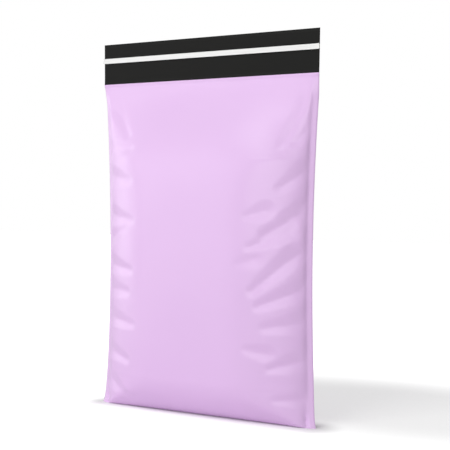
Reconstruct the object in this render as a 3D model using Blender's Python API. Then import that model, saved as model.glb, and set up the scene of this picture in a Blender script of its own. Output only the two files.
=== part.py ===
# A filled poly mailer bag, standing on its flattened bottom.
#
# The bag is one sheet of polyethylene film, folded across the bottom and heat-sealed up both sides.
# The back panel is longer than the front one: what stands above the mouth is the closing lip. It shows
# the black inner layer of the film, and carries a strip of hot-melt glue under a white release liner.
# The goods inside push both panels out, so the flat sides draw in and the film folds beside the seals.
#
# Metres, +Z up. The origin is on the floor, in the middle of the bag. The front panel faces -Y.

import math

import bmesh
import bpy
import numpy as np

# The flat, empty bag.
flat_width = 0.250
panel_length = 0.3450
lip_height = 0.041
seal_width = 0.005
film_thickness = 0.0001

# How far the goods push each panel out, and over what length of film it gets there. Towards the corners
# that length grows by corner_reach.
belly_depth = 0.0275
base_depth = 0.0050
heel_length = 0.055
heel_slope = 0.75
wedge_length = 0.125
wedge_power = 3.0
corner_reach = 1.8
side_length = 0.115
side_fullness = 1.20
side_roundness = 1.8
side_steepness = 0.8
ridge_sharpness = 8.0

# The side seals bow inwards as the bag fills. The bottom corners stay flat for a short way, as ears.
seal_bow = 0.0073
seal_bow_reach = 0.96
ear_width = 0.005
ear_height = 0.030
ear_flare = 0.0018
ear_flare_height = 0.006

# The folds that the film takes beside its seals. Each is a short valley on the standing bag: where it
# starts and ends, across and up, and how deep and how wide it is. The back has them the other way up.
right_folds = [
    (0.117, 0.280, 0.104, 0.264, 0.0015, 0.0050),
    (0.112, 0.300, 0.092, 0.262, 0.0015, 0.0050),
    (0.115, 0.240, 0.092, 0.222, 0.0014, 0.0055),
    (0.080, 0.201, 0.062, 0.196, 0.0014, 0.0050),
    (0.115, 0.203, 0.078, 0.179, 0.0024, 0.0060),
    (0.100, 0.182, 0.065, 0.167, 0.0017, 0.0050),
    (0.070, 0.156, 0.054, 0.151, 0.0012, 0.0045),
    (0.105, 0.160, 0.068, 0.126, 0.0022, 0.0055),
    (0.111, 0.128, 0.074, 0.112, 0.0019, 0.0055),
    (0.112, 0.098, 0.080, 0.092, 0.0015, 0.0055),
    (0.082, 0.068, 0.063, 0.071, 0.0014, 0.0045),
    (0.108, 0.061, 0.085, 0.054, 0.0017, 0.0050),
    (0.117, 0.026, 0.090, 0.025, 0.0015, 0.0040),
]
left_folds = [
    (-0.114, 0.318, -0.086, 0.276, 0.0020, 0.0055),
    (-0.116, 0.262, -0.080, 0.262, 0.0017, 0.0060),
    (-0.114, 0.236, -0.078, 0.230, 0.0019, 0.0060),
    (-0.115, 0.196, -0.074, 0.190, 0.0020, 0.0060),
    (-0.114, 0.170, -0.084, 0.182, 0.0015, 0.0050),
    (-0.114, 0.146, -0.076, 0.140, 0.0020, 0.0055),
    (-0.113, 0.120, -0.080, 0.118, 0.0015, 0.0055),
    (-0.114, 0.092, -0.072, 0.086, 0.0017, 0.0055),
    (-0.114, 0.058, -0.080, 0.050, 0.0017, 0.0055),
    (-0.104, 0.026, -0.078, 0.013, 0.0015, 0.0045),
]


back_fold_spacing = 0.9
fold_fade = 0.5
fold_limit = 0.33

# The strip of hot-melt glue and the release liner over it.
liner_height = 0.0050
liner_below_top = 0.0145
liner_thickness = 0.0001
glue_height = 0.0036
glue_thickness = 0.0001
contact_gap = 0.0003

# How finely the film is divided.
side_reach = 0.070
side_columns = 14
middle_columns = 8
film_rows = 72
path_steps = 400

film_half_width = flat_width / 2 - seal_width


def material(name, colour, roughness):
    made = bpy.data.materials.new(name)
    made.use_nodes = True
    shader = made.node_tree.nodes["Principled BSDF"]
    shader.inputs["Base Color"].default_value = (*colour, 1.0)
    shader.inputs["Roughness"].default_value = roughness
    shader.inputs["Metallic"].default_value = 0.0
    return made


def goods_depth(across, along):
    """How far the goods push out the film, away from the seals. Towards the corners they do so later."""
    reach = 1 + corner_reach * np.abs(across / film_half_width) ** 3
    heel_power = heel_slope * heel_length / (belly_depth - base_depth)
    heel_share = np.clip((along - base_depth) / (heel_length * reach), 0, 1)
    heel = base_depth + (belly_depth - base_depth) * (1 - (1 - heel_share) ** heel_power)
    rising = np.where(along < base_depth, along, heel)
    wedge_share = np.clip((panel_length - along) / (wedge_length * reach), 0, 1)
    closing = 1 - (1 - wedge_share) ** wedge_power * (1 + wedge_power * wedge_share)
    return rising * closing


def side_depth(from_seal, along):
    """How far the film can stand out, at a length of film in from the side seal."""
    ear = ear_width * np.exp(-along / ear_height)
    share = np.clip((from_seal - ear) / side_length, 0, 1)
    return side_fullness * belly_depth * (1 - (1 - share) ** side_roundness) ** side_steepness


def smooth_depth(across, along):
    """The panel's depth without its folds, at a place on the flat film."""
    tiny = 1e-7
    limits = side_depth(film_half_width - np.abs(across), along), goods_depth(across, along)
    total = sum((limit + tiny) ** -ridge_sharpness for limit in limits)
    return total ** (-1 / ridge_sharpness)


def fold_depth(x, height, mouth, front):
    """How much the folds draw the film in, at places on one row of the standing bag."""
    drawn = np.zeros_like(x)
    for start_x, start_z, end_x, end_z, depth, width in right_folds + left_folds:
        if not front:
            start_x, end_x = -start_x, -end_x
            start_z, end_z = mouth - back_fold_spacing * start_z, mouth - back_fold_spacing * end_z
        run_x, run_z = end_x - start_x, end_z - start_z
        share = ((x - start_x) * run_x + (height - start_z) * run_z) / (run_x**2 + run_z**2)
        share = np.clip(share, 0, 1)
        gap = np.hypot(x - start_x - share * run_x, height - start_z - share * run_z)
        drawn = drawn + depth * np.exp(-((gap / width) ** 2)) * (1 - fold_fade * share)
    return drawn


def film_places():
    """The film's columns, from seal to seal, and its rows, from the front of the base to the mouth."""
    side = np.linspace(-film_half_width, -film_half_width + side_reach, side_columns + 1)
    middle = np.linspace(side[-1], -side[-1], middle_columns + 1)
    columns = np.concatenate([side, middle[1:-1], -side[::-1]])
    rows = np.linspace(base_depth, panel_length, film_rows + 1)
    return columns, rows


def height_of(along):
    """The standing height of a row: film that travels in depth doesn't climb."""
    steps = np.linspace(0, panel_length, path_steps * 10 + 1)
    depth = goods_depth(0, steps)
    climb = np.sqrt(np.maximum(np.diff(steps) ** 2 - np.diff(depth) ** 2, 0))
    climb[steps[1:] <= base_depth] = 0
    return np.interp(along, steps, np.concatenate([[0], np.cumsum(climb)]))


def seal_place(height, mouth):
    """How far from the middle line the side seal runs, at a standing height."""
    share = height / mouth
    bow = seal_bow * (1 - (seal_bow_reach * (2 * share - 1)) ** 2)
    flare = ear_flare * (1 - math.exp(-height / ear_flare_height)) * (1 - share)
    return film_half_width - bow - flare


def half_section(along, seal):
    """For one row, the sideways place of each length of film from the middle line to the seal."""
    steps = np.linspace(0, film_half_width, path_steps + 1)
    depth = smooth_depth(steps, np.full_like(steps, along))
    sideways = np.sqrt(np.maximum(np.diff(steps) ** 2 - np.diff(depth) ** 2, 0))
    places = np.concatenate([[0], np.cumsum(sideways)])
    return steps, places * seal / places[-1]


def panel(front):
    """Rows of points for one panel, from one side's cut edge to the other."""
    columns, rows = film_places()
    facing = -1 if front else 1
    heights = height_of(rows) - height_of(rows[0])
    points = []
    for along, height in zip(rows, heights):
        steps, places = half_section(along, seal_place(height, heights[-1]))
        x = np.sign(columns) * np.interp(np.abs(columns), steps, places)
        row_along = np.full_like(columns, along)
        depth = smooth_depth(columns, row_along)
        depth = depth - np.minimum(fold_depth(x, height, heights[-1], front), fold_limit * depth)
        depth[[0, -1]] = 0
        y = facing * (film_thickness + depth)
        x = np.concatenate([[x[0] - seal_width], x, [x[-1] + seal_width]])
        y = np.concatenate([[facing * film_thickness], y, [facing * film_thickness]])
        z = np.full_like(x, height)
        points.append(np.column_stack([x, y, z]))
    return points


def join_rows(mesh, lower, upper, flip):
    """A band of faces between two rows of vertices."""
    for k in range(len(lower) - 1):
        corners = [lower[k], lower[k + 1], upper[k + 1], upper[k]]
        mesh.faces.new(corners[::-1] if flip else corners)


def make_pouch(outside):
    front, back = panel(True), panel(False)
    mouth = front[-1][0][2]
    mouth_x = front[-1][:, 0]
    lip_x = mouth_x * flat_width / (mouth_x[-1] - mouth_x[0])
    lip_rows = {
        "foot": [(x, 0, mouth) for x in mouth_x],
        "top_front": [(x, 0, mouth + lip_height) for x in lip_x],
        "top_back": [(x, film_thickness, mouth + lip_height) for x in lip_x],
    }
    mesh = bmesh.new()
    front = [[mesh.verts.new(p) for p in row] for row in front]
    back = [[mesh.verts.new(p) for p in row] for row in back]
    foot, top_front, top_back = ([mesh.verts.new(p) for p in lip_rows[k]] for k in lip_rows)

    front_and_lip = front + [foot, top_front, top_back]
    back_and_lip = back + [top_back]
    join_rows(mesh, back[0], front[0], flip=False)
    for lower, upper in zip(front_and_lip, front_and_lip[1:]):
        join_rows(mesh, lower, upper, flip=False)
    for lower, upper in zip(back_and_lip, back_and_lip[1:]):
        join_rows(mesh, lower, upper, flip=True)
    for column in (0, -1):
        for k in range(film_rows):
            edge = [front[k][column], front[k + 1][column], back[k + 1][column], back[k][column]]
            mesh.faces.new(edge)
        edge = [front[-1][column], foot[column], top_front[column], top_back[column], back[-1][column]]
        mesh.faces.new(edge)
    bmesh.ops.recalc_face_normals(mesh, faces=mesh.faces)

    data = bpy.data.meshes.new("mailer_pouch")
    mesh.to_mesh(data)
    mesh.free()
    data.shade_smooth()
    data.set_sharp_from_angle(angle=math.radians(40))
    data.materials.append(outside)
    pouch = bpy.data.objects.new("mailer_pouch", data)
    bpy.context.scene.collection.objects.link(pouch)
    return mouth + lip_height


def make_strip(name, finish, height, thickness, middle_height, back_face):
    """A flat strip across the lip. back_face is how far its back stands in front of the lip."""
    mesh = bmesh.new()
    bmesh.ops.create_cube(mesh, size=1)
    bmesh.ops.scale(mesh, verts=mesh.verts, vec=(flat_width, thickness, height))
    data = bpy.data.meshes.new(name)
    mesh.to_mesh(data)
    mesh.free()
    data.materials.append(finish)
    strip = bpy.data.objects.new(name, data)
    strip.location = (0, -back_face - thickness / 2, middle_height)
    bpy.context.scene.collection.objects.link(strip)


def main():
    for old in list(bpy.data.objects):
        bpy.data.objects.remove(old)
    top = make_pouch(material("lilac_film", (0.78, 0.55, 0.86), 0.38))
    strip_middle = top - liner_below_top - liner_height / 2
    make_strip(
        "adhesive_strip",
        material("hot_melt_glue", (0.86, 0.84, 0.76), 0.25),
        glue_height,
        glue_thickness,
        strip_middle,
        contact_gap,
    )
    make_strip(
        "release_liner",
        material("white_liner", (0.90, 0.90, 0.89), 0.35),
        liner_height,
        liner_thickness,
        strip_middle,
        contact_gap + glue_thickness + contact_gap,
    )


main()
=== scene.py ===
# A filled poly mailer bag standing on its bottom: lilac film, a black-lined closing lip, and a white
# release liner over the strip of glue.

import math

import bmesh
import bpy
import numpy as np
from mathutils import Euler, Matrix, Vector


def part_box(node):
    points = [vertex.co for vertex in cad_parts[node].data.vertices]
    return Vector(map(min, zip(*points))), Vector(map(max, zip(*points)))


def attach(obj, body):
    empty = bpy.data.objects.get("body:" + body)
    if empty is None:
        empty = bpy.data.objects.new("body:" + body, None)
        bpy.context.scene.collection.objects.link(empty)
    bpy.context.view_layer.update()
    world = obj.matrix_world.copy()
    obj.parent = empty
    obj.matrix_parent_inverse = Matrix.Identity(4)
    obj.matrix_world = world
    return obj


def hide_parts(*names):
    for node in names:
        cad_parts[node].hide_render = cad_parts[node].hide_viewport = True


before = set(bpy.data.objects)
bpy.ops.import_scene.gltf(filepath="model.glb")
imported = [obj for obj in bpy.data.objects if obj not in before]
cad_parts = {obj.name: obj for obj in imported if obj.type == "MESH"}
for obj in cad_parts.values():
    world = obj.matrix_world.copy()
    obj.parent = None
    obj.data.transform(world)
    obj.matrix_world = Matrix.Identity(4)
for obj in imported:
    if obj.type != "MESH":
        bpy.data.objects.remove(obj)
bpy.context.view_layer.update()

# The pouch: one sheet of 0.1 mm polyethylene film, lilac outside and black inside, folded across the
# bottom and hot-welded up both sides. The front panel ends at the mouth, and the back panel runs on past
# it as the closing lip. The goods push both panels out, and the film gathers beside the welds.
pouch_low, pouch_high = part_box("mailer_pouch")
flat_width = pouch_high.x - pouch_low.x
weld_width = 0.005
half_width = flat_width / 2 - weld_width
lip_height = 0.041
mouth_height = pouch_high.z - lip_height
panel_length = 0.3450
film_thickness = 0.0001

# How far the goods push each panel out, and over what length of film it gets there: over the heel at the
# bottom, over the wedge under the mouth, and in from each weld. Both ends are longer near the corners.
belly_depth = 0.0275
base_depth = 0.0035
heel_length = 0.044
heel_slope = 0.92
heel_corner_reach = 0.8
wedge_length = 0.125
wedge_power = 3.0
wedge_corner_reach = 0.7
corner_power = 3
side_length = 0.115
side_fullness = 1.20
side_roundness = 1.8
side_steepness = 0.8
side_taper = 0.085
side_taper_power = 1.3
side_shoulder = 0.016
ridge_sharpness = 20.0

# The welds bow inwards as the bag fills. The bottom corners stay flat for a short way, as ears, which
# spread outwards and turn forwards.
weld_bow = 0.0060
weld_bow_reach = 0.96
ear_width = 0.005
ear_height = 0.030
ear_flare = 0.0018
ear_flare_height = 0.006
ear_forward = 0.0030
ear_turn_power = 6

# How finely the film is divided, and in how many steps its length is followed.
film_step = 0.0028
columns = 2 * round(half_width / film_step)
rows = round(panel_length / film_step)
climb_steps = 4000
sideways_steps = 400


def goods_depth(across, along):
    """How far the goods push out the film, away from the welds. Towards the corners they do so later."""
    near_weld = np.abs(across / half_width) ** corner_power
    heel_reach = 1 + heel_corner_reach * near_weld
    heel_power = heel_slope * heel_length / (belly_depth - base_depth)
    heel_share = np.clip((along - base_depth) / (heel_length * heel_reach), 0, 1)
    heel = base_depth + (belly_depth - base_depth) * (1 - (1 - heel_share) ** heel_power)
    wedge_reach = 1 + wedge_corner_reach * near_weld
    wedge_share = np.clip((panel_length - along) / (wedge_length * wedge_reach), 0, 1)
    closing = 1 - (1 - wedge_share) ** wedge_power * (1 + wedge_power * wedge_share)
    return np.where(along < base_depth, along, heel) * closing


def side_depth(from_weld, along):
    """How far the film can stand out, at a length of film in from the weld. It's less near the mouth."""
    ear = ear_width * np.exp(-along / ear_height)
    share = np.clip((from_weld - ear) / side_length, 0, 1)
    taper = np.clip((panel_length - along) / side_taper, 0, 1) ** side_taper_power
    taper = taper + (1 - taper) * np.exp(-from_weld / side_shoulder)
    return side_fullness * belly_depth * (1 - (1 - share) ** side_roundness) ** side_steepness * taper


def filled_depth(across, along):
    """The smaller of the two depths, with the ridge between them a little rounded."""
    tiny = 1e-7
    limits = side_depth(half_width - np.abs(across), along), goods_depth(across, along)
    return sum((limit + tiny) ** -ridge_sharpness for limit in limits) ** (-1 / ridge_sharpness)


def film_height(along):
    """The standing height of a row of film: what travels in depth doesn't climb."""
    steps = np.linspace(0, panel_length, climb_steps + 1)
    climb = np.sqrt(np.maximum(np.diff(steps) ** 2 - np.diff(goods_depth(0, steps)) ** 2, 0))
    climb[steps[1:] <= base_depth] = 0
    path = np.concatenate([[0], np.cumsum(climb)])
    return np.interp(along, steps, path * mouth_height / path[-1])


def film_sideways(across, along):
    """Where a place on the flat film stands, measured across the bag, between the bowed welds."""
    height = film_height(along) / mouth_height
    bow = weld_bow * (1 - (weld_bow_reach * (2 * height - 1)) ** 2)
    flare = ear_flare * (1 - math.exp(-height * mouth_height / ear_flare_height)) * (1 - height)
    steps = np.linspace(0, half_width, sideways_steps + 1)
    depth = filled_depth(steps, np.full_like(steps, along))
    run = np.sqrt(np.maximum(np.diff(steps) ** 2 - np.diff(depth) ** 2, 0))
    path = np.concatenate([[0], np.cumsum(run)])
    path *= (half_width - bow - flare) / path[-1]
    return np.sign(across) * np.interp(np.abs(across), steps, path)


# The folds that the film has taken beside the welds. Each is a short line on the standing bag: where it
# starts and ends, across and up, and how deep and how wide its valley is. The back has them upside down.
right_folds = [
    (0.117, 0.280, 0.104, 0.264, 0.0015, 0.0050),
    (0.112, 0.300, 0.092, 0.262, 0.0015, 0.0050),
    (0.115, 0.240, 0.092, 0.222, 0.0014, 0.0055),
    (0.080, 0.201, 0.062, 0.196, 0.0014, 0.0050),
    (0.115, 0.203, 0.078, 0.179, 0.0024, 0.0060),
    (0.100, 0.182, 0.065, 0.167, 0.0017, 0.0050),
    (0.070, 0.156, 0.054, 0.151, 0.0012, 0.0045),
    (0.105, 0.160, 0.068, 0.126, 0.0022, 0.0055),
    (0.111, 0.128, 0.074, 0.112, 0.0019, 0.0055),
    (0.112, 0.098, 0.080, 0.092, 0.0015, 0.0055),
    (0.082, 0.068, 0.063, 0.071, 0.0014, 0.0045),
    (0.108, 0.061, 0.085, 0.054, 0.0017, 0.0050),
    (0.117, 0.026, 0.090, 0.025, 0.0015, 0.0040),
]
left_folds = [
    (-0.114, 0.318, -0.086, 0.276, 0.0020, 0.0055),
    (-0.116, 0.262, -0.080, 0.262, 0.0017, 0.0060),
    (-0.114, 0.236, -0.078, 0.230, 0.0019, 0.0060),
    (-0.115, 0.196, -0.074, 0.190, 0.0020, 0.0060),
    (-0.114, 0.170, -0.084, 0.182, 0.0015, 0.0050),
    (-0.114, 0.146, -0.076, 0.140, 0.0020, 0.0055),
    (-0.113, 0.120, -0.080, 0.118, 0.0015, 0.0055),
    (-0.114, 0.092, -0.072, 0.086, 0.0017, 0.0055),
    (-0.114, 0.058, -0.080, 0.050, 0.0017, 0.0055),
    (-0.104, 0.026, -0.078, 0.013, 0.0015, 0.0045),
]
back_spacing = 0.9
back_folds = [
    (
        -start_x,
        mouth_height - back_spacing * start_z,
        -end_x,
        mouth_height - back_spacing * end_z,
        depth,
        width,
    )
    for start_x, start_z, end_x, end_z, depth, width in [*left_folds, *right_folds]
]

# A valley reaches out to its width times fold_reach. Towards its end it gets narrower and shallower, and
# where the bag is thin it takes no more than its depth divided by fold_limit.
fold_reach = 2.2
fold_narrows = 0.5
fold_fades = 0.3
fold_limit = 3


def fold_depth(across, height, folds):
    """How much the folds draw the film in, at places on one side of the bag."""
    drawn = np.zeros_like(across)
    for start_x, start_z, end_x, end_z, depth, width in folds:
        run_x, run_z = end_x - start_x, end_z - start_z
        share = ((across - start_x) * run_x + (height - start_z) * run_z) / (run_x**2 + run_z**2)
        held_share = np.clip(share, 0, 1)
        gap = np.hypot(across - start_x - held_share * run_x, height - start_z - held_share * run_z)
        reach = fold_reach * width * (1 - fold_narrows * held_share)
        drawn = drawn + depth * np.clip(1 - gap / reach, 0, 1) * (1 - fold_fades * held_share)
    return drawn


# The film before it settles. Each place is known by its side, row and column; the two sides share the
# bottom fold and the welds. Rows that lie on the floor are a fifth of the film apart, so none coincide.
lying_rows = 5
flat_across = np.linspace(-half_width, half_width, columns + 1)
flat_along = np.linspace(0, panel_length, rows + 1)
places = {}
start = []
for side in (-1, 1):
    for row, along in enumerate(flat_along):
        across = film_sideways(flat_across, along)
        height = film_height(along)
        swell = filled_depth(flat_across, np.full_like(flat_across, along))
        folds = [*left_folds, *right_folds] if side < 0 else back_folds
        drawn = fold_depth(across, np.full_like(across, height), folds)
        depth = np.minimum(swell, along) - np.minimum(drawn, swell / fold_limit) + film_thickness
        for column in range(columns + 1):
            on_weld = column in (0, columns)
            if side > 0 and (row == 0 or on_weld):
                places[side, row, column] = places[-1, row, column]
                continue
            places[side, row, column] = len(start)
            stands_out = 0 if on_weld or row == 0 else side * depth[column]
            lift = film_thickness * row / lying_rows if height == 0 else 0
            outwards = (across[column] / half_width) ** ear_turn_power
            turned = ear_forward * math.exp(-height / ear_height) * outwards
            start.append((across[column], stands_out - turned, height + lift))
start = np.array(start)

# How far each place is from the weld and from the bottom fold, on the flat film. The film is cut a little
# longer than it stands, and what is left over gathers.
film_surplus = 1.002
from_weld = np.zeros(len(start))
from_fold = np.zeros(len(start))
for side in (-1, 1):
    for row in range(rows + 1):
        for column in range(columns + 1):
            from_weld[places[side, row, column]] = half_width - abs(flat_across[column])
            from_fold[places[side, row, column]] = flat_along[row]
cut_film = start * (1, 1, film_surplus)


def sheet_faces(side):
    """The film's faces on one side, with their outer side out."""
    for row in range(rows):
        for column in range(columns):
            ring = [(row, column), (row, column + 1), (row + 1, column + 1), (row + 1, column)]
            corners = list(dict.fromkeys(places[(side, *place)] for place in ring))
            yield corners if side < 0 else corners[::-1]


# How firmly the goods hold the film, loosely beside the welds and firmly at the mouth and the base, and
# over what lengths of film that changes. Then the film's stiffness and the push of the goods.
held_from_weld = 0.085
side_hold = 0.30
goods_hold = 0.90
mouth_held = 0.060
base_held = 0.030
film_bending = 0.004
goods_pressure = 3.0
settling_frames = 30


def settle(points, cut_points, faces):
    """Lets the filled film find its folds: its lengths are the cut film's, and the goods press out."""
    mesh = bpy.data.meshes.new("settling_film")
    mesh.from_pydata(points.tolist(), [], faces)
    film = bpy.data.objects.new("settling_film", mesh)
    bpy.context.scene.collection.objects.link(film)
    film.shape_key_add(name="filled")
    cut = film.shape_key_add(name="cut film")
    cut.data.foreach_set("co", cut_points.astype(np.float32).ravel())
    inwards = np.clip(from_weld / held_from_weld, 0, 1)
    hold = side_hold + (goods_hold - side_hold) * inwards**2 * (3 - 2 * inwards)
    from_end = np.minimum(panel_length - from_fold, from_fold * mouth_held / base_held)
    near_end = np.clip(1 - from_end / mouth_held, 0, 1)
    hold = hold + (1 - hold) * near_end * (2 - near_end)
    on_edge = (from_weld < film_step / 2) | (from_end < film_step / 2)
    hold = np.where(on_edge | (from_fold <= base_depth), 1.0, hold)
    held = film.vertex_groups.new(name="held")
    for number, share in enumerate(hold):
        held.add([number], float(share), "REPLACE")

    # The cloth reads the cut film's lengths only behind a modifier that makes a mesh of its own.
    film.modifiers.new("own mesh", "WELD").merge_threshold = film_thickness / 100
    cloth = film.modifiers.new("film", "CLOTH")
    stuff = cloth.settings
    stuff.rest_shape_key = cut
    stuff.vertex_group_mass = held.name
    stuff.quality = 6
    stuff.mass = 0.1
    stuff.air_damping = 2.0
    stuff.tension_stiffness = 40.0
    stuff.compression_stiffness = 40.0
    stuff.shear_stiffness = 20.0
    stuff.bending_stiffness = film_bending
    stuff.use_pressure = True
    stuff.uniform_pressure_force = goods_pressure
    stuff.effector_weights.gravity = 0
    cloth.collision_settings.use_collision = False
    cloth.point_cache.frame_end = settling_frames
    for step in range(1, settling_frames + 1):
        bpy.context.scene.frame_set(step)
    settled = film.evaluated_get(bpy.context.evaluated_depsgraph_get()).data
    assert len(settled.vertices) == len(points), "points of the film have merged"
    result = np.empty(len(points) * 3, np.float32)
    settled.vertices.foreach_get("co", result)
    bpy.context.scene.frame_set(1)
    bpy.data.objects.remove(film)
    return result.reshape(-1, 3).astype(float)


# Nothing sinks into the floor.
film_points = settle(start, cut_film, [*sheet_faces(-1), *sheet_faces(1)])
film_points[:, 2] = np.maximum(film_points[:, 2], 0)

# The finished film: both panels with their thickness, the welded fins outside the seams, which lie a
# little back, the hem at the front panel's cut edge, and the lip. Edges over crease_angle stay sharp.
fin_set_back = 0.0026
fin_straightens = 0.02
hem_rise = (-0.0018, -0.0006, 0.0)
hem_stand = (0.0006, 0.0007, 0.0002)
lip_rows = 6
crease_angle = math.radians(60)
shape = bmesh.new()
crease = shape.edges.layers.float.new("crease_edge")


def film_row(side, row):
    """One row of a panel, from one cut edge to the other."""
    line = np.array([film_points[places[side, row, column]] for column in range(columns + 1)])
    line[:, 1] += side * film_thickness
    below_mouth = min(1, (mouth_height - line[0, 2]) / fin_straightens)
    right = np.array([weld_width, fin_set_back * below_mouth, 0])
    left = right * (-1, 1, 1)
    return [line[0] + left, line[0] + left / 2, *line, line[-1] + right / 2, line[-1] + right]


def add_row(points):
    """New points of the mesh, in a row."""
    return [shape.verts.new(point) for point in points]


front = [add_row(film_row(-1, row)) for row in range(rows + 1)]
back = [add_row(film_row(1, row)) for row in range(rows + 1)]
mouth_x = np.array([vert.co.x for vert in front[-1]])
for vert in front[-1]:
    vert.co.y -= hem_stand[0]
    vert.co.z += hem_rise[0]
hem = [
    add_row([(x, -stand, mouth_height + rise) for x in mouth_x])
    for rise, stand in zip(hem_rise[1:], hem_stand[1:])
]
lip_x = mouth_x * flat_width / (mouth_x[-1] - mouth_x[0])
lip_front = []
lip_back = []
for step in range(lip_rows + 1):
    share = step / lip_rows
    across = mouth_x + (lip_x - mouth_x) * share
    height = mouth_height + lip_height * share
    lip_front.append(add_row([(x, 0, height) for x in across]))
    if step:
        lip_back.append(add_row([(x, film_thickness, height) for x in across]))

front_side = [*front, *hem, *lip_front, lip_back[-1]]
back_side = [*back, *lip_back]
lining_rows = range(len(front) + len(hem), len(front) + len(hem) + lip_rows)


def lay_band(lower, upper, facing_back, lining):
    """A band of faces between two rows. The black lining has the second material."""
    for place in range(len(lower) - 1):
        corners = [lower[place], lower[place + 1], upper[place + 1], upper[place]]
        face = shape.faces.new(corners[::-1] if facing_back else corners)
        face.smooth = True
        face.material_index = int(lining)


lay_band(back[0], front[0], False, False)
for number in range(len(front_side) - 1):
    lay_band(front_side[number], front_side[number + 1], False, number in lining_rows)
for number in range(len(back_side) - 1):
    lay_band(back_side[number], back_side[number + 1], True, False)
for end in (0, -1):
    for number in range(rows):
        lower, upper = number, number + 1
        shape.faces.new([front[lower][end], front[upper][end], back[upper][end], back[lower][end]])
    turn = [front[-1], *hem, *lip_front[:2], lip_back[0], back[-1]]
    shape.faces.new([line[end] for line in turn])
    for number in range(1, lip_rows):
        ring = [lip_front[number], lip_front[number + 1], lip_back[number], lip_back[number - 1]]
        shape.faces.new([line[end] for line in ring])
bmesh.ops.recalc_face_normals(shape, faces=shape.faces)

cut_edges = (0, -1)
seams = (2, -3)
sharp = {
    frozenset((line[column], other[column]))
    for lines in (front, back)
    for line, other in zip(lines, lines[1:])
    for column in (*cut_edges, *seams)
}
for edge in shape.edges:
    if frozenset(edge.verts) in sharp or edge.calc_face_angle(0) > crease_angle:
        edge[crease] = 1.0

mesh = bpy.data.meshes.new("pouch_film")
shape.to_mesh(mesh)
shape.free()
pouch_film = bpy.data.objects.new("pouch_film", mesh)
bpy.context.scene.collection.objects.link(pouch_film)
rounding = pouch_film.modifiers.new("rounding", "SUBSURF")
rounding.levels = 1
rounding.render_levels = 1


class Value:
    """A number that changes over a surface. Arithmetic written on it becomes Math nodes."""

    def __init__(self, nodes, socket):
        self.nodes = nodes
        self.socket = socket

    def maths(self, operation, first, second):
        return self.nodes.node("ShaderNodeMath", {"operation": operation}, {0: first, 1: second})

    def __add__(self, other):
        return self.maths("ADD", self, other)

    def __sub__(self, other):
        return self.maths("SUBTRACT", self, other)

    def __rsub__(self, other):
        return self.maths("SUBTRACT", other, self)

    def __mul__(self, other):
        return self.maths("MULTIPLY", self, other)

    def __truediv__(self, other):
        return self.maths("DIVIDE", self, other)

    def __rtruediv__(self, other):
        return self.maths("DIVIDE", other, self)

    __radd__ = __add__
    __rmul__ = __mul__


class Nodes:
    """A node tree under construction."""

    def __init__(self, tree):
        self.tree = tree

    def node(self, kind, settings=None, inputs=None, output=0):
        """Adds a node. Its settings are set first, then its sockets get their values or links."""
        made = self.tree.nodes.new(kind)
        for name, value in (settings or {}).items():
            setattr(made, name, value)
        for name, value in (inputs or {}).items():
            self.feed(made.inputs[name], value)
        return Value(self, made.outputs[output]) if made.outputs else made

    def feed(self, socket, value):
        if isinstance(value, Value):
            self.tree.links.new(value.socket, socket)
        else:
            socket.default_value = value


class Finish(Nodes):
    """A material. It starts as one plain colour and roughness, and patterns are laid over them."""

    def __init__(self, name, colour, roughness):
        self.material = bpy.data.materials.new(name)
        self.material.use_nodes = True
        super().__init__(self.material.node_tree)
        self.shader = self.tree.nodes["Principled BSDF"]
        self.set("Base Color", (*colour, 1))
        self.set("Roughness", roughness)

    def set(self, name, value):
        self.feed(self.shader.inputs[name], value)

    def noise(self, stretch, scale, detail=2.0):
        """Noise on the piece's own coordinates, from 0 to 1, stretched along an axis by a small number."""
        place = self.node("ShaderNodeTexCoord", output="Object")
        moved = self.node("ShaderNodeMapping", inputs={"Vector": place, "Scale": stretch})
        return self.node("ShaderNodeTexNoise", inputs={"Vector": moved, "Scale": scale, "Detail": detail})

    def blend(self, share, low, high):
        """A colour between two, by a share from 0 to 1. The node's colours are its sockets 6 and 7."""
        colours = {"Factor": share, 6: (*low, 1), 7: (*high, 1)}
        return self.node("ShaderNodeMix", {"data_type": "RGBA"}, colours, output=2)

    def bump(self, height, depth):
        self.set("Normal", self.node("ShaderNodeBump", inputs={"Height": height, "Distance": depth}))


# The film has a satin sheen, a faint clouding, a fine grain, and fine lines where it was drawn upwards.
film_roughness = 0.285
film_clouding = 0.05
film_grain = 700
grain_stretch = (1, 1, 0.6)
grain_depth = 0.00003
lilac = Finish("lilac film", (0.78, 0.53, 0.85), 0.40)
cloudy = lilac.noise((1, 1, 1), 14)
drawn_lines = lilac.noise((1, 1, 0.03), 260)
lilac.set("Base Color", lilac.blend(cloudy, (0.765, 0.515, 0.84), (0.795, 0.545, 0.86)))
lilac.set("Roughness", film_roughness + film_clouding * cloudy)
lilac.bump(lilac.noise(grain_stretch, film_grain) * 0.6 + drawn_lines * 0.4, grain_depth)

# The black inner face of the lip is duller.
lining = Finish("black lining", (0.009, 0.009, 0.0085), 0.6)
lining.set("Specular IOR Level", 0.10)
lining.set("Roughness", 0.5 + 0.1 * lining.noise((0.05, 1, 1), 300))
lining.bump(lining.noise(grain_stretch, film_grain), grain_depth)

pouch_film.data.materials.append(lilac.material)
pouch_film.data.materials.append(lining.material)
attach(pouch_film, "root")
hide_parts("mailer_pouch")

# The strip of glue across the lip: a cream hot melt, laid warm on the black film in one narrow line. It
# stays tacky, and the liner hides it until the bag is closed.
glue_ripples = 0.00005
glue = Finish("hot melt glue", (0.86, 0.84, 0.76), 0.2)
glue.set("Roughness", 0.16 + 0.12 * glue.noise((0.2, 1, 1), 400))
glue.bump(glue.noise((0.1, 1, 1), 900), glue_ripples)
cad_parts["adhesive_strip"].data.materials.clear()
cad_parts["adhesive_strip"].data.materials.append(glue.material)

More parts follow.
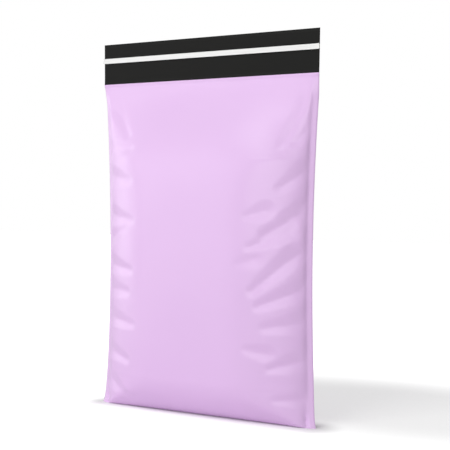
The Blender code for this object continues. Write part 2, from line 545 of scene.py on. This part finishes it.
# The release liner: a narrow tape of white siliconed film, pressed over the glue from edge to edge. It
# lies on the glue in slight ripples, and its two cut ends have lifted a little.
streak_depth = 0.00005
liner = Finish("white liner", (0.92, 0.92, 0.91), 0.35)
streaks = liner.noise((0.02, 1, 1), 900, 3.0)
liner.set("Base Color", liner.blend(streaks, (0.74, 0.74, 0.73), (0.90, 0.90, 0.89)))
liner.bump(streaks, streak_depth)

tape_low, tape_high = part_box("release_liner")
tape_sizes = {
    "Length": tape_high.x - tape_low.x,
    "Height": tape_high.z - tape_low.z,
    "Thickness": tape_high.y - tape_low.y,
    "Back": tape_high.y,
    "Middle": (tape_low.z + tape_high.z) / 2,
    "Ripple": 0.0004,
    "Ripples": 60.0,
    "Lift": 0.0008,
    "Lifted End": 0.006,
}
points_along = 240
points_up = 6
ripple_stretch = (1, 0, 0.15)

tape_tree = bpy.data.node_groups.new("rippled tape", "GeometryNodeTree")
tape_tree.interface.new_socket("Geometry", in_out="OUTPUT", socket_type="NodeSocketGeometry")
for name in tape_sizes:
    tape_tree.interface.new_socket(name, in_out="INPUT", socket_type="NodeSocketFloat")
tape_tree.interface.new_socket("Material", in_out="INPUT", socket_type="NodeSocketMaterial")
tape = Nodes(tape_tree)
given = tape.node("NodeGroupInput").socket.node.outputs
length, height, thickness, behind, middle, ripple, ripples, lift, lifted_end = (
    Value(tape, given[name]) for name in tape_sizes
)
size = tape.node("ShaderNodeCombineXYZ", inputs={0: length, 1: thickness, 2: height})
divisions = {"Size": size, "Vertices X": points_along, "Vertices Y": 2, "Vertices Z": points_up}
strip = tape.node("GeometryNodeMeshCube", inputs=divisions)
place = tape.node("GeometryNodeInputPosition")
along = tape.node("ShaderNodeSeparateXYZ", inputs={0: place})
squeezed = tape.node("ShaderNodeVectorMath", {"operation": "MULTIPLY"}, {0: place, 1: ripple_stretch})
wave = {"Vector": squeezed, "Scale": ripples, "Detail": 1.0}
rippled = tape.node("ShaderNodeTexNoise", {"noise_dimensions": "3D"}, wave) * ripple
from_middle = tape.node("ShaderNodeMath", {"operation": "ABSOLUTE"}, {0: along})
past_hold = from_middle - (length * 0.5 - lifted_end)
past = tape.node("ShaderNodeMath", {"operation": "MAXIMUM"}, {0: past_hold, 1: 0.0})
share = past / lifted_end
forward = rippled + share * share * lift
offset = {0: 0.0, 1: behind - thickness * 0.5 - forward, 2: middle}
moved = tape.node("ShaderNodeCombineXYZ", inputs=offset)
shaped = tape.node("GeometryNodeSetPosition", inputs={"Geometry": strip, "Offset": moved})
whole = tape.node("GeometryNodeRealizeInstances", inputs={"Geometry": shaped})
coat = {"Geometry": whole, "Material": Value(tape, given["Material"])}
finished = tape.node("GeometryNodeSetMaterial", inputs=coat)
tape.node("NodeGroupOutput", inputs={0: finished})

carrier = bpy.data.objects.new("liner_carrier", bpy.data.meshes.new("liner_carrier"))
bpy.context.scene.collection.objects.link(carrier)
laying = carrier.modifiers.new("laying", "NODES")
laying.node_group = tape_tree
values = {**tape_sizes, "Material": liner.material}
for item in tape_tree.interface.items_tree:
    if item.in_out == "INPUT":
        laying[item.identifier] = values[item.name]
ready = carrier.evaluated_get(bpy.context.evaluated_depsgraph_get())
liner_tape = bpy.data.objects.new("liner_tape", bpy.data.meshes.new_from_object(ready))
bpy.data.objects.remove(carrier)
bpy.context.scene.collection.objects.link(liner_tape)
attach(liner_tape, "root")
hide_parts("release_liner")

# The floor is a white studio table. Its own colour carries the bag's shadow, and away from the bag it
# glows a little to the camera, as a lit sweep does: all round the bag, but least behind it on the right.
floor_reach = 4
floor_corners = [(x * floor_reach, y * floor_reach, 0) for x, y in ((-1, -1), (1, -1), (1, 1), (-1, 1))]
floor_mesh = bpy.data.meshes.new("floor")
floor_mesh.from_pydata(floor_corners, [], [(0, 1, 2, 3)])
floor = bpy.data.objects.new("floor", floor_mesh)
bpy.context.scene.collection.objects.link(floor)

glow_strength = 1.42
beside_bag = {"From Min": 0.0, "From Max": 0.035, "To Min": 0.0, "To Max": 1.0}
shaded_place = {"Location": (-0.07, -0.14, 0), "Scale": (0.5, 1, 0)}
past_shade = {"From Min": 0.08, "From Max": 0.26, "To Min": 0.36, "To Max": 0.96}
table = Finish("white table", (0.92, 0.92, 0.92), 0.9)
table.set("Specular IOR Level", 0.1)


def vector_maths(operation, first, second=(0, 0, 0), output=0):
    """A step on the table's coordinates."""
    inputs = {0: first, 1: second}
    return table.node("ShaderNodeVectorMath", {"operation": operation}, inputs, output)


def eased(distance, limits):
    """A share that grows smoothly with a distance."""
    inputs = {"Value": distance, **limits}
    return table.node("ShaderNodeMapRange", {"interpolation_type": "SMOOTHSTEP"}, inputs)


place = table.node("ShaderNodeTexCoord", output="Object")
past_weld = vector_maths("SUBTRACT", vector_maths("ABSOLUTE", place), (half_width, 0, 0))
from_bag = vector_maths("LENGTH", vector_maths("MAXIMUM", past_weld), output="Value")
from_shade = table.node("ShaderNodeMapping", inputs={"Vector": place, **shaded_place})
apart = vector_maths("LENGTH", from_shade, output="Value")
share = eased(from_bag, beside_bag) * eased(apart, past_shade)
to_camera = table.node("ShaderNodeLightPath", output="Is Camera Ray")
glow = table.node("ShaderNodeEmission", inputs={"Strength": glow_strength})
plain = Value(table, table.shader.outputs["BSDF"])
glowing = table.node("ShaderNodeMixShader", inputs={0: share * to_camera, 1: plain, 2: glow})
table.feed(table.tree.nodes["Material Output"].inputs["Surface"], glowing)
floor_mesh.materials.append(table.material)

# The room is white where it is seen, mirrored or seen through, and lights the bag more weakly. Four soft
# lamps light it too: one high in front, two lower from the front, and one from the left.
seen_strength = 1.0
room_strength = 0.36
world = bpy.data.worlds.new("studio")
bpy.context.scene.world = world
world.use_nodes = True
room = Nodes(world.node_tree)
background = room.tree.nodes["Background"]
larger = {"operation": "MAXIMUM"}
by_camera = room.node("ShaderNodeLightPath", output="Is Camera Ray")
mirrored = room.node("ShaderNodeLightPath", output="Is Glossy Ray")
through = room.node("ShaderNodeLightPath", output="Is Transmission Ray")
seen = room.node("ShaderNodeMath", larger, {0: by_camera, 1: mirrored})
seen = room.node("ShaderNodeMath", larger, {0: seen, 1: through})
strengths = {"Value": seen, "To Min": room_strength, "To Max": seen_strength}
room.feed(background.inputs["Color"], (1, 1, 1, 1))
room.feed(background.inputs["Strength"], room.node("ShaderNodeMapRange", inputs=strengths))


def softbox(name, place, aim, width, height, power):
    """A soft rectangular lamp, turned towards what it lights."""
    lamp = bpy.data.lights.new(name, "AREA")
    lamp.shape = "RECTANGLE"
    lamp.size = width
    lamp.size_y = height
    lamp.energy = power
    holder = bpy.data.objects.new(name, lamp)
    holder.location = place
    holder.rotation_euler = (Vector(aim) - holder.location).to_track_quat("-Z", "Y").to_euler()
    bpy.context.scene.collection.objects.link(holder)


softbox("high front", (-0.15, -1.05, 1.45), aim=(0, 0, 0.18), width=0.8, height=0.8, power=8.6)
softbox("left front", (-0.95, -1.25, 0.50), aim=(0, 0, 0.14), width=0.8, height=1.0, power=3)
softbox("front fill", (0.35, -1.58, 0.36), aim=(0, 0, 0.06), width=1.0, height=0.6, power=5.3)
softbox("left rim", (-1.30, -0.25, 0.35), aim=(0, 0, 0.16), width=0.4, height=0.8, power=2.2)

# The camera stands in front of the bag to its right, a little above the bag's middle, with a long lens.
# It is turned to the left by these degrees, looks down very slightly, and its picture is hardly turned.
turned_left = 31.938
looks_down = 1.451
picture_turn = 0.402
camera = bpy.data.objects.new("camera", bpy.data.cameras.new("camera"))
camera.data.lens = 89.05
camera.location = (0.5948, -0.9165, 0.2142)
aimed = Euler((math.radians(90 - looks_down), 0, math.radians(turned_left))).to_matrix()
camera.rotation_euler = (aimed @ Matrix.Rotation(math.radians(picture_turn), 3, "Z")).to_euler()
bpy.context.scene.collection.objects.link(camera)
bpy.context.scene.camera = camera
bpy.context.scene.view_settings.view_transform = "Standard"
